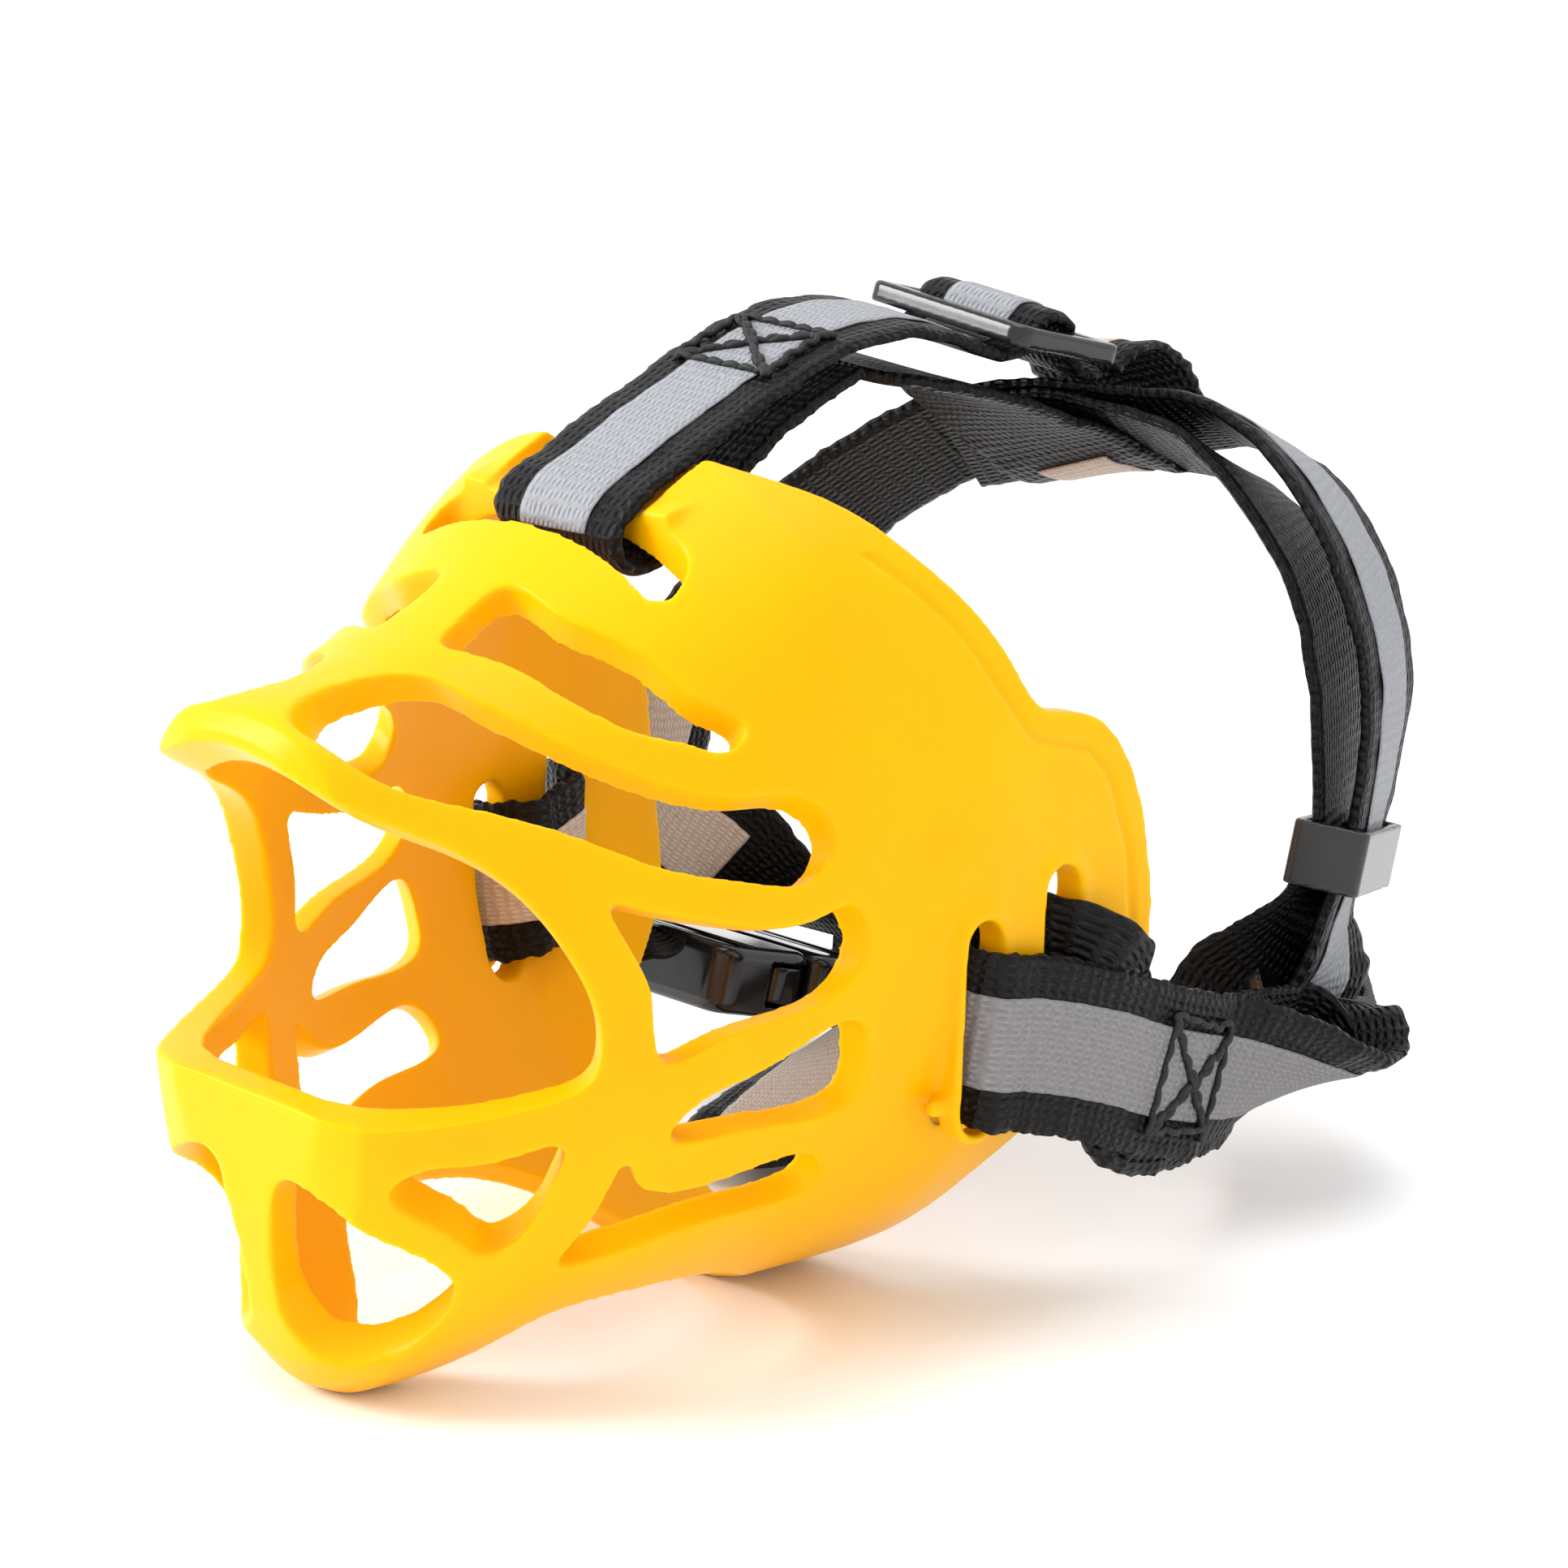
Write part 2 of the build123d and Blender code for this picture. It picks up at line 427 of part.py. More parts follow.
def buckle_prong(side):
    """Sprung arm of the plug, with the rounded button that shows in the socket's side window."""
    t = BUCKLE_THICK - 4.2
    arm = Pos(side * PRONG_X, PLUG_GAP + 1.2 - PRONG_LENGTH / 2) * Box(PRONG_WIDTH, PRONG_LENGTH, t)
    button = Pos(side * (BUCKLE_WIDTH / 2 - 2.3), -SIDE_WINDOW_Y) * extrude(
        SlotOverall(SIDE_WINDOW - 1.4, 4.6, rotation=90), t / 2, both=True)
    return buckle_plane().location * (arm + button)


def place_all():
    """Every node of the muzzle."""
    overhead = OVERHEAD + weave(OVERHEAD_SLIDER)
    return {
        "basket": basket(),
        "overhead_strap": ribbon(overhead, WEB_WIDTH, WEB_THICK, steps=2),
        "overhead_tape": tape_on(overhead, OVERHEAD_FACE, OVERHEAD_TAPE, steps=2),
        "overhead_stitching": box_stitch(overhead, OVERHEAD_FACE, OVERHEAD_SEAM),
        "overhead_wrap": ribbon(WRAP, WEB_WIDTH, WEB_THICK),
        "overhead_wrap_tape": tape_on(WRAP, OVERHEAD_FACE, (0.2, len(WRAP) - 1)),
        "overhead_slider": tri_glide(OVERHEAD_SLIDER, GLIDE_LENGTH),
        "neck_strap": ribbon(NECK, WEB_WIDTH, WEB_THICK),
        "neck_tape": tape_on(NECK, 1, NECK_TAPE),
        "neck_lining": ribbon(LINING, WEB_WIDTH, WEB_THICK),
        "strap_keeper": keeper(KEEPER),
        "left_tab": ribbon(LEFT_TAB, WEB_WIDTH, WEB_THICK),
        "left_tab_tape": tape_on(LEFT_TAB, TAB_FACE, TAB_TAPE),
        "left_tab_stitching": box_stitch(LEFT_TAB, TAB_FACE, TAB_SEAM),
        "left_slider": tri_glide(LEFT_SLIDER, LEFT_SLIDER_LENGTH),
        "right_tab": ribbon(RIGHT_TAB, WEB_WIDTH, WEB_THICK),
        "right_tab_tape": tape_on(RIGHT_TAB, -TAB_FACE, (8.4, 12)),
        "right_tab_stitching": box_stitch(RIGHT_TAB, -TAB_FACE, (10.2, 11.4)),
        "buckle_socket": buckle_socket(),
        "buckle_plug": buckle_plug(),
        "buckle_prong_left": buckle_prong(1),
        "buckle_prong_right": buckle_prong(-1),
        "buckle_tail": ribbon(BUCKLE_TAIL, WEB_WIDTH, WEB_THICK),
    }


os.makedirs("parts", exist_ok=True)
for name, shape in place_all().items():
    placed = shape.moved(Location(-REST_PAD))
    export_step(placed, f"parts/{name}.step")
    print(name, len(placed.solids()), round(placed.volume))
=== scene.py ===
import json
import math
import random

import bmesh
import bpy
import numpy as np
from mathutils import Matrix, Vector


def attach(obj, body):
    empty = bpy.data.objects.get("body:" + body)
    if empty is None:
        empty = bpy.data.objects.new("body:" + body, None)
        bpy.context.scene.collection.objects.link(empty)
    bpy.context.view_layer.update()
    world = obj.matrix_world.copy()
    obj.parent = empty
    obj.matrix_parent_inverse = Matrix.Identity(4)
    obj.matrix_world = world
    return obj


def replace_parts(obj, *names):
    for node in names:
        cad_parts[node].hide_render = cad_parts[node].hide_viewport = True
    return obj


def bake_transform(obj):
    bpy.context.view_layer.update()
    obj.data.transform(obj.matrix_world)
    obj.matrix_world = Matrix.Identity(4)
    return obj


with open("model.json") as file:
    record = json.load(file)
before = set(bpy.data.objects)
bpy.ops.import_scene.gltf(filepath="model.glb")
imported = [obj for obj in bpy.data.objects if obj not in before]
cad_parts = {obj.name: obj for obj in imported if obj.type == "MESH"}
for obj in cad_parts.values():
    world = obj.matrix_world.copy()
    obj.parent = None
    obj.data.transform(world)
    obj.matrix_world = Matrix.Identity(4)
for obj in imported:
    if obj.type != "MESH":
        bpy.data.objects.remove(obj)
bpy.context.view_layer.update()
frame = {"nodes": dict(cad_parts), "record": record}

# ---------------------------------------------------------------- places and sizes
# Routes and outlines are in millimetres, with the nose towards -Y. The rest pad lies PAD_AHEAD in front of
# their origin. A route is a list of (centre, across) pairs.
PAD = next(m for m in frame["record"]["mounts"] if m["name"] == "rest_pad")["pos_m"]
PAD_AHEAD = 0.011
SHIFT = Vector(PAD) + Vector((0, PAD_AHEAD, 0))
WEB_WIDTH, WEB_THICK = 20.0, 1.6
TAPE_WIDTH, TAPE_THICK = 10.5, 0.35
THREAD = 0.42
STEPS = 14  # samples between two points of a route
COLUMNS = 18  # faces across a band

OVERHEAD_SLIDER = ((0, 39.4, 106.0), (1, 0, -0.14), (0, 1, -0.24))
WEAVE = [(-11, -2.8), (-7.8, -3.0), (-4.6, -1.7), (-2.9, 1.6), (-1.4, 2.7), (1.4, 2.7), (2.9, 1.6),
         (4.6, -1.7), (7.8, -3.0), (10.4, -2.7)]
OVERHEAD = [
    ((0.5, 5, 104.6), (1, 0, -0.05)), ((1, -4, 101.6), (1, 0, -0.05)), ((1.5, -12.6, 97.2), (1, 0, -0.05)),
    ((2, -18, 92.8), (1, 0, -0.05)), ((2.3, -24, 90.6), (1, 0, -0.05)), ((2.5, -30, 88.1), (1, 0, -0.08)),
    ((2.6, -33.2, 89.2), (1, 0, -0.1)), ((2.6, -34, 92.2), (1, 0, -0.1)), ((2.5, -31.6, 95), (1, 0, -0.08)),
    ((2.2, -26.5, 97.2), (1, 0, -0.06)), ((1.8, -20.5, 99.8), (1, 0, -0.06)),
    ((1.2, -12, 103), (1, 0, -0.06)), ((0.8, -1, 107), (1, 0, -0.08)), ((0.4, 9, 109), (1, 0, -0.1)),
    ((0.2, 19, 108.6), (1, 0, -0.12)),
]
WRAP = [
    ((0, 51, 101), (1, 0.05, -0.1)), ((0, 54.5, 101.8), (0.97, 0.2, -0.05)),
    ((0, 58.8, 100), (0.93, 0.36, 0.05)), ((0, 63.2, 96), (0.9, 0.38, 0.14)),
    ((0, 65.8, 90.6), (0.9, 0.38, 0.2)), ((0, 63.4, 86), (0.9, 0.38, 0.22)),
    ((0, 57, 86.4), (0.92, 0.36, 0.2)), ((0, 49, 90.2), (0.94, 0.3, 0.16)),
    ((0, 41, 94.2), (0.98, 0.16, 0.06)), ((0, 32, 98.6), (1, 0.05, -0.05)),
    ((0, 23, 101.6), (1, 0, -0.1)), ((0, 13, 103.2), (1, 0, -0.1)),
]
# From the buckle round the neck to the near-side slider
NECK = [
    ((-43, 52, 17.2), (1, 0, 0)), ((-43.4, 47, 21.6), (1, 0.1, 0.1)),
    ((-44.4, 40.4, 26.4), (0.75, 0.55, 0.3)), ((-45.4, 34, 31), (0.25, 0.9, 0.3)),
    ((-46.6, 26, 38), (0, 1, 0)), ((-46.2, 25, 47), (0, 1, -0.05)),
    ((-42.6, 27.4, 59), (0.1, 0.99, -0.15)), ((-34, 33, 71), (0.1, 0.95, -0.3)),
    ((-24, 40.2, 82), (0.05, 0.9, -0.42)), ((-12, 47.4, 90.2), (0, 0.87, -0.48)),
    ((0, 54.2, 93), (0, 0.87, -0.48)), ((10.3, 58.4, 93), (-0.05, 0.87, -0.48)),
    ((20.5, 60.8, 93.4), (-0.12, 0.9, -0.42)), ((30.5, 62.1, 88.4), (-0.2, 0.92, -0.32)),
    ((36.8, 65.9, 76.9), (-0.28, 0.93, -0.2)), ((39.6, 68.3, 62.4), (-0.34, 0.93, -0.1)),
    ((39.4, 65.8, 45.6), (-0.42, 0.9, -0.14)), ((39.0, 64.2, 41.6), (-0.43, 0.9, -0.12)),
    ((38.2, 62.1, 36.0), (-0.45, 0.88, -0.1)), ((37.4, 61.4, 31), (-0.4, 0.88, -0.15)),
    ((36, 61.6, 26), (-0.2, 0.92, -0.3)), ((33.4, 61.6, 21), (0.05, 0.9, -0.3)),
    ((33.6, 58.6, 17), (0.07, 0.9, -0.1)),
]
LINING = [
    ((-12, 46.4, 88.5), (0, 0.87, -0.48)), ((0, 53.2, 91.2), (0, 0.87, -0.48)),
    ((10, 57, 90.8), (-0.05, 0.87, -0.48)), ((19.6, 59, 89), (-0.12, 0.9, -0.42)),
    ((28.2, 60.4, 82.6), (-0.2, 0.92, -0.32)), ((33.8, 63, 72.4), (-0.28, 0.93, -0.2)),
    ((35.8, 64, 59.6), (-0.34, 0.93, -0.1)), ((36, 63.6, 46.1), (-0.42, 0.9, -0.14)),
    ((35.8, 62.4, 42.2), (-0.43, 0.9, -0.12)), ((35.2, 60.6, 35), (-0.2, 0.95, -0.1)),
    ((34.2, 57.4, 29), (0.1, 0.95, -0.1)), ((33.6, 53.6, 24.4), (0.3, 0.9, 0.1)),
    ((34.4, 50, 21), (0.3, 0.8, 0.4)),
]
# The part of a near-side tab that goes in by the rear slot and out by the front one
SLOT_LOOP = [
    ((45.4, 10.5, 34), (0, 0.24, 0.97)), ((45.5, 6.8, 37.6), (0, 0.12, 0.99)),
    ((43.6, 4.4, 39.4), (0, 0.05, 1)), ((39.6, 3, 39.8), (0, 0.03, 1)), ((36, 2.2, 39.8), (0, 0.03, 1)),
    ((34.2, -3, 38.6), (0, 0, 1)), ((33.8, -6.4, 38.2), (0, 0.03, 1)), ((36.8, -9.1, 37.5), (0, 0.04, 1)),
    ((41.5, -9.9, 36.6), (0, 0.06, 1)), ((44.9, -8.4, 36), (0, 0.15, 0.99)),
    ((45.5, -3, 34.8), (0, 0.27, 0.96)), ((47.1, 7, 31.4), (0, 0.36, 0.93)),
    ((46.9, 16, 27.4), (0, 0.39, 0.92)), ((45.8, 27, 23.4), (0, 0.39, 0.92)),
]
LEFT_TAB = [
    ((33, 59, 18.6), (0.07, 0.85, -0.1)), ((35, 52, 18.6), (0.05, 0.75, 0.55)),
    ((38.2, 44, 18.8), (0, 0.5, 0.85)), ((41.4, 34.5, 20.8), (0, 0.4, 0.9)),
    ((43.4, 25, 22), (0, 0.39, 0.92)), ((44.9, 16, 24.6), (0, 0.36, 0.93)),
    ((45.3, 10.5, 30.4), (0, 0.24, 0.97)), ((45.5, 6.8, 36.6), (0, 0.12, 0.99)),
] + SLOT_LOOP[2:] + [
    ((44, 29.9, 22.6), (0.05, 0.33, 0.94)),
    ((43.4, 38.8, 19.8), (0.4, 0.32, 0.86)),
    ((42.2, 48.8, 17), (0.78, 0.27, 0.58)),
    ((41, 55.6, 15.4), (0.92, 0.22, 0.35)),
    ((39.4, 60, 15.2), (0.9, 0.3, 0.3)), ((37.6, 61.8, 18), (0.75, 0.6, 0.1)),
    ((36.2, 62.4, 20.4), (0.4, 0.9, -0.1)), ((35, 63, 22.2), (0.07, 0.91, -0.4)),
]
RIGHT_TAB = [((-x, y, z), (-a, b, c)) for (x, y, z), (a, b, c) in SLOT_LOOP[:12]] + [
    ((-46.8, 12, 28.4), (-0.1, 0.35, 0.93)), ((-45.8, 15.6, 26.2), (-0.4, 0.3, 0.85)),
    ((-45, 18, 24.4), (-0.9, 0.05, 0.3)), ((-45, 19.6, 23.6), (-1, 0, -0.05)),
]
BUCKLE_TAIL = [
    ((-43, 56.4, 11), (0.3, 0, 0.95)), ((-37, 55.4, 10.6), (0.3, 0.1, 0.9)),
    ((-30.5, 49, 9.4), (0.5, 0.3, 0.8)), ((-26, 39, 7.4), (0.78, 0.3, 0.5)),
    ((-21.5, 28, 5.4), (0.9, 0.35, 0.2)), ((-16, 16, 4.2), (0.9, 0.42, 0)),
    ((-10.5, 5.5, 3.6), (0.86, 0.5, 0)),
]
# Rear rim of the basket seen from the side, top of the hood down to the underside
RIM = [(-23.5, 104), (-22.5, 99.5), (-16, 95.4), (-9, 88.2), (-5, 83.3), (-1, 76.5), (2.2, 71.6), (6, 70.4),
       (11, 69), (15.5, 64), (18.6, 54), (19.6, 42), (18, 31), (12, 24), (6, 19), (1.6, 14.7), (-2, 7)]


def place(point):
    """A millimetre point of the routes in the row's frame, in metres."""
    return Vector(point) / 1000 + SHIFT


def weave(slider):
    """Route points that take the webbing through a slider."""
    centre, across, run = [Vector(v) for v in slider]
    across = across.normalized()
    up = across.cross(run).normalized()
    run = up.cross(across)
    return [(tuple(centre + run * y + up * z), slider[1]) for y, z in WEAVE]


OVERHEAD = OVERHEAD + weave(OVERHEAD_SLIDER)


# ---------------------------------------------------------------- materials
def material(name):
    """A new material with its nodes, links and shader."""
    m = bpy.data.materials.new(name)
    m.use_nodes = True
    return m, m.node_tree.nodes, m.node_tree.links, m.node_tree.nodes["Principled BSDF"]


def node(nodes, kind, **values):
    """A shader node with its sockets or settings given by name."""
    n = nodes.new(kind)
    for key, value in values.items():
        if key in n.inputs:
            n.inputs[key].default_value = value
        else:
            setattr(n, key, value)
    return n


def ramp(nodes, stops):
    """A colour ramp between two (position, colour) stops."""
    r = nodes.new("ShaderNodeValToRGB")
    r.color_ramp.elements[0].position, r.color_ramp.elements[0].color = stops[0][0], (*stops[0][1], 1)
    r.color_ramp.elements[1].position, r.color_ramp.elements[1].color = stops[1][0], (*stops[1][1], 1)
    return r


def plastic(name, low, high, roughness, grain, depth, scatter=0.0, shine=0.5):
    """Moulded plastic with a faint mottle in colour and a fine surface texture."""
    m, nodes, links, bsdf = material(name)
    where = nodes.new("ShaderNodeTexCoord")
    mottle = node(nodes, "ShaderNodeTexNoise", Scale=38.0, Detail=3.0)
    links.new(where.outputs["Object"], mottle.inputs["Vector"])
    colour = ramp(nodes, [(0.35, low), (0.65, high)])
    links.new(mottle.outputs["Fac"], colour.inputs["Fac"])
    links.new(colour.outputs["Color"], bsdf.inputs["Base Color"])
    fine = node(nodes, "ShaderNodeTexNoise", Scale=grain, Detail=2.0)
    links.new(where.outputs["Object"], fine.inputs["Vector"])
    bump = node(nodes, "ShaderNodeBump", Strength=0.25, Distance=depth)
    links.new(fine.outputs["Fac"], bump.inputs["Height"])
    links.new(bump.outputs["Normal"], bsdf.inputs["Normal"])
    bsdf.inputs["Roughness"].default_value = roughness
    bsdf.inputs["Specular IOR Level"].default_value = shine
    if scatter:
        bsdf.inputs["Subsurface Weight"].default_value = scatter
        bsdf.inputs["Subsurface Radius"].default_value = (1.0, 0.6, 0.1)
        bsdf.inputs["Subsurface Scale"].default_value = 0.004
    return m


def fabric(name, low, high, rib, cross, depth, roughness):
    """Woven face: ribs along and across the band, driven by the band's own length and width coordinates.
    The colour is the weave's own tone, lightened where weave and noise specks peak: painted glints.
    """
    m, nodes, links, bsdf = material(name)
    uv = nodes.new("ShaderNodeUVMap")
    uv.uv_map = "band"
    waves = []
    for direction, scale in (("X", cross), ("Y", rib)):
        w = node(nodes, "ShaderNodeTexWave", Scale=scale, Distortion=1.4, Detail=1.5)
        w.inputs["Detail Scale"].default_value = 2.0
        w.bands_direction = direction
        links.new(uv.outputs["UV"], w.inputs["Vector"])
        waves.append(w)
    product = node(nodes, "ShaderNodeMath", operation="MULTIPLY")
    links.new(waves[0].outputs["Fac"], product.inputs[0])
    links.new(waves[1].outputs["Fac"], product.inputs[1])
    # Noise specks: they drive the bump, and where they peak they paint glints into the colour
    glint_speck = node(nodes, "ShaderNodeTexNoise", Scale=14.0, Detail=4.0)
    links.new(uv.outputs["UV"], glint_speck.inputs["Vector"])
    weave_and_glint = node(nodes, "ShaderNodeMath", operation="ADD")
    links.new(product.outputs[0], weave_and_glint.inputs[0])
    links.new(glint_speck.outputs["Fac"], weave_and_glint.inputs[1])
    # The high colour is reached only at the peaks of weave plus specks: painted glint
    colour = ramp(nodes, [(0.35, low), (1.0, high)])
    links.new(weave_and_glint.outputs[0], colour.inputs["Fac"])
    links.new(colour.outputs["Color"], bsdf.inputs["Base Color"])
    bump = node(nodes, "ShaderNodeBump", Strength=0.8, Distance=depth)
    links.new(weave_and_glint.outputs[0], bump.inputs["Height"])
    links.new(bump.outputs["Normal"], bsdf.inputs["Normal"])
    bsdf.inputs["Roughness"].default_value = roughness
    bsdf.inputs["Specular IOR Level"].default_value = 0.18
    return m


YELLOW = plastic("moulded_yellow", (0.9, 0.44, 0.0), (0.93, 0.47, 0.0), 0.32, 900.0, 0.00004, 0.3, 0.1)
BLACK = plastic("moulded_black", (0.006, 0.006, 0.007), (0.014, 0.014, 0.015), 0.16, 500.0, 0.00003)
KEEPER = plastic("keeper_black", (0.014, 0.014, 0.015), (0.024, 0.024, 0.026), 0.24, 500.0, 0.00003)
WEBBING = fabric("black_webbing", (0.001, 0.001, 0.001), (0.012, 0.0115, 0.0115), 2.1, 3.0, 0.0009, 0.42)
TAPE = fabric("silver_tape", (0.26, 0.27, 0.29), (0.37, 0.38, 0.41), 2.2, 4.2, 0.0004, 0.5)
# The near-side tab's tape is the silver tape made darker: painted shade for that side of the object
SHADED_TAB_TAPE = fabric("tab_tape_painted_shade", (0.19, 0.185, 0.195), (0.29, 0.28, 0.295), 2.2, 4.2, 0.0004, 0.5)
# Tan tape for the strips on inner faces and on the buckle tail: the tan is painted warm reflection from the
# yellow basket
WARM_REFLECTION_TAPE = fabric("tape_painted_warm_reflection", (0.44, 0.38, 0.33), (0.66, 0.58, 0.52), 2.2, 5.5, 0.0002, 0.6)
COTTON = plastic("black_thread", (0.004, 0.004, 0.004), (0.012, 0.012, 0.012), 0.65, 2500.0, 0.00008)


# ---------------------------------------------------------------- mesh helpers
def mesh_object(name, points, faces, paint, uv=None):
    """A smooth object, with uv as one pair per vertex."""
    mesh = bpy.data.meshes.new(name)
    mesh.from_pydata([tuple(p) for p in points], [], faces)
    if uv is not None:
        layer = mesh.uv_layers.new(name="band")
        corner_vertex = np.zeros(len(mesh.loops), int)
        mesh.loops.foreach_get("vertex_index", corner_vertex)
        layer.data.foreach_set("uv", np.array(uv)[corner_vertex].ravel())
    mesh.polygons.foreach_set("use_smooth", [True] * len(mesh.polygons))
    mesh.materials.append(paint)
    mesh.update()
    obj = bpy.data.objects.new(name, mesh)
    bpy.context.scene.collection.objects.link(obj)
    return obj


def along(route, count):
    """Catmull-Rom samples of a route of (centre, across) pairs."""
    rows = [Vector(c) for c, _ in route]
    sides = [Vector(a).normalized() for _, a in route]
    last = len(rows) - 1
    samples = []
    for i in range(count + 1):
        t = i * last / count
        k = min(int(t), last - 1)
        u = t - k
        p0, p1, p2, p3 = [rows[max(0, min(last, k + j))] for j in (-1, 0, 1, 2)]
        centre = 0.5 * (2 * p1 + (p2 - p0) * u + (2 * p0 - 5 * p1 + 4 * p2 - p3) * u * u
                        + (3 * p1 - p0 - 3 * p2 + p3) * u ** 3)
        samples.append((centre, sides[k].lerp(sides[k + 1], u).normalized()))
    return samples


def band_frames(route):
    """Middle, direction along, direction across, outward normal and length so far at each sample."""
    samples = along(route, STEPS * (len(route) - 1))
    frames, length = [], 0.0
    for i, (centre, across) in enumerate(samples):
        before, after = samples[max(0, i - 1)][0], samples[min(len(samples) - 1, i + 1)][0]
        run = (after - before).normalized()
        side = (across - run * across.dot(run)).normalized()
        if i:
            length += (centre - samples[i - 1][0]).length
        frames.append((centre, run, side, run.cross(side), length))
    return frames


def wander(seed, size, waves):
    """Smooth irregular function of length along a band."""
    chance = random.Random(seed)
    terms = [(chance.uniform(0.6, 1.0), chance.uniform(0.8, 1.25) * w, chance.uniform(0, 6.283))
             for w in waves]
    return lambda s: size * sum(a * math.sin(s * w + p) for a, w, p in terms) / len(terms)


def band(name, route, paint, width=WEB_WIDTH, thick=WEB_THICK, lift=0.0, span=None, edge=0.4, swell=0.2,
         seed=1, round_ends=(0, 0)):
    """Woven band along a route, with uneven selvedges and rounded edges."""
    frames = band_frames(route)
    first, last = span or (0, len(route) - 1)
    frames = [f for i, f in enumerate(frames) if first * STEPS <= i <= last * STEPS]
    left, right = wander(seed, edge, (0.8, 1.7, 3.1)), wander(seed + 7, edge, (0.9, 1.9, 3.3))
    wave = wander(seed + 13, swell, (0.35, 0.8))
    half, h = width / 2, thick / 2
    ring = [(-1 + 2 * j / COLUMNS, 1) for j in range(COLUMNS + 1)]
    ring += [(1 - 2 * j / COLUMNS, -1) for j in range(COLUMNS + 1)]
    start, end = frames[0][4], frames[-1][4]
    points, uv, faces = [], [], []
    for centre, run, side, up, s in frames:
        factor = 1.0
        for reach, gone in ((round_ends[0], s - start), (round_ends[1], end - s)):
            if reach and gone < reach:
                factor = min(factor, math.sqrt(max(0.04, 1 - (1 - gone / reach) ** 2)))
        for x, z in ring:
            bend = left(s) if x < 0 else right(s)
            wide = x * (half * factor + bend * abs(x))
            rounding = h * (1 - max(0.0, abs(x) - 0.9) * 6)
            lean = wave(s) * x * abs(x) + 0.5 * wave(s * 1.3 + 4)
            points.append(place(centre + side * wide + up * (z * rounding + lean + lift)))
            uv.append((wide / 10, s / 10))
    n = len(ring)
    for i in range(len(frames) - 1):
        for j in range(n):
            a, b = i * n + j, i * n + (j + 1) % n
            faces.append((a, b, b + n, a + n))
    faces.append(tuple(range(n - 1, -1, -1)))
    faces.append(tuple(range((len(frames) - 1) * n, len(frames) * n)))
    return mesh_object(name, points, faces, paint, uv)


def tape(name, route, paint, face, span, seed, width=TAPE_WIDTH, round_ends=(0, 0)):
    """Tape sewn on one face of a band; face 1 is the outward one."""
    lift = face * (WEB_THICK / 2 + TAPE_THICK / 2 - 0.04)
    return band(name, route, paint, width, TAPE_THICK, lift, span, 0.1, 0.12, seed, round_ends)


def tube(path, radius, sides=8):
    """Points and faces of a round thread along a path."""
    points, faces = [], []
    for i, p in enumerate(path):
        run = (path[min(i + 1, len(path) - 1)] - path[max(i - 1, 0)]).normalized()
        u = run.orthogonal().normalized() if i == 0 else (u - run * u.dot(run)).normalized()
        v = run.cross(u)
        for k in range(sides):
            a = 2 * math.pi * k / sides
            points.append(p + (u * math.cos(a) + v * math.sin(a)) * radius)
    for i in range(len(path) - 1):
        for k in range(sides):
            a, b = i * sides + k, i * sides + (k + 1) % sides
            faces.append((a, b, b + sides, a + sides))
    faces.append(tuple(range(sides - 1, -1, -1)))
    faces.append(tuple(range((len(path) - 1) * sides, len(path) * sides)))
    return points, faces


def box_stitch(name, route, face, span, seed, half=7.0):
    """Hand-guided box stitch with a cross: separate stitches of thick thread that dip at their ends."""
    frames = band_frames(route)
    start, end = round(span[0] * STEPS), round(span[1] * STEPS)
    chance = random.Random(seed)

    def spot(t, x, height):
        i = min(max(start + (end - start) * t, 0), len(frames) - 1.001)
        a, b, u = frames[int(i)], frames[int(i) + 1], i - int(i)
        centre, side, up = a[0].lerp(b[0], u), a[2].lerp(b[2], u), a[3].lerp(b[3], u)
        return place(centre + side * x + up * face * (WEB_THICK / 2 + TAPE_THICK + height))

    length = frames[end][4] - frames[start][4]
    lines = [((0, -1), (1, 1)), ((0, 1), (1, -1)), ((0, -1), (0, 1)), ((1, -1), (1, 1)), ((0, -1), (1, -1)),
             ((0, 1), (1, 1)), ((0.04, -1), (1, 0.9)), ((0, 0.94), (0.97, -1))]
    points, faces = [], []
    for (t0, x0), (t1, x1) in lines:
        t0, t1 = t0 + chance.uniform(-0.05, 0.05), t1 + chance.uniform(-0.05, 0.05)
        x0, x1 = x0 * chance.uniform(0.88, 1.06), x1 * chance.uniform(0.88, 1.06)
        long = math.hypot((t1 - t0) * length, (x1 - x0) * half)
        count = max(3, round(long / 2.6))
        for k in range(count):
            path = []
            sway = chance.uniform(-0.7, 0.7)
            for j in range(7):
                f = (k + 0.02 + 0.96 * j / 6) / count
                height = 0.42 * math.sin(math.pi * j / 6) - 0.1
                x = (x0 + (x1 - x0) * f) * half + sway * math.sin(math.pi * j / 6)
                path.append(spot(t0 + (t1 - t0) * f, x, height))
            thread_points, thread_faces = tube(path, THREAD / 1000)
            faces += [tuple(v + len(points) for v in corners) for corners in thread_faces]
            points += thread_points
    return mesh_object(name, points, faces, COTTON)


def relax(points, edges, rounds, pull):
    """Plain smoothing of a mesh: each point moves part of the way to the mean of its neighbours."""
    a, b = edges[:, 0], edges[:, 1]
    count = np.bincount(np.concatenate([a, b]), minlength=len(points))[:, None]
    for _ in range(rounds):
        total = np.zeros_like(points)
        for axis in range(3):
            total[:, axis] = (np.bincount(a, points[b, axis], len(points))
                              + np.bincount(b, points[a, axis], len(points)))
        points = points + pull * (total / np.maximum(count, 1) - points)
    return points


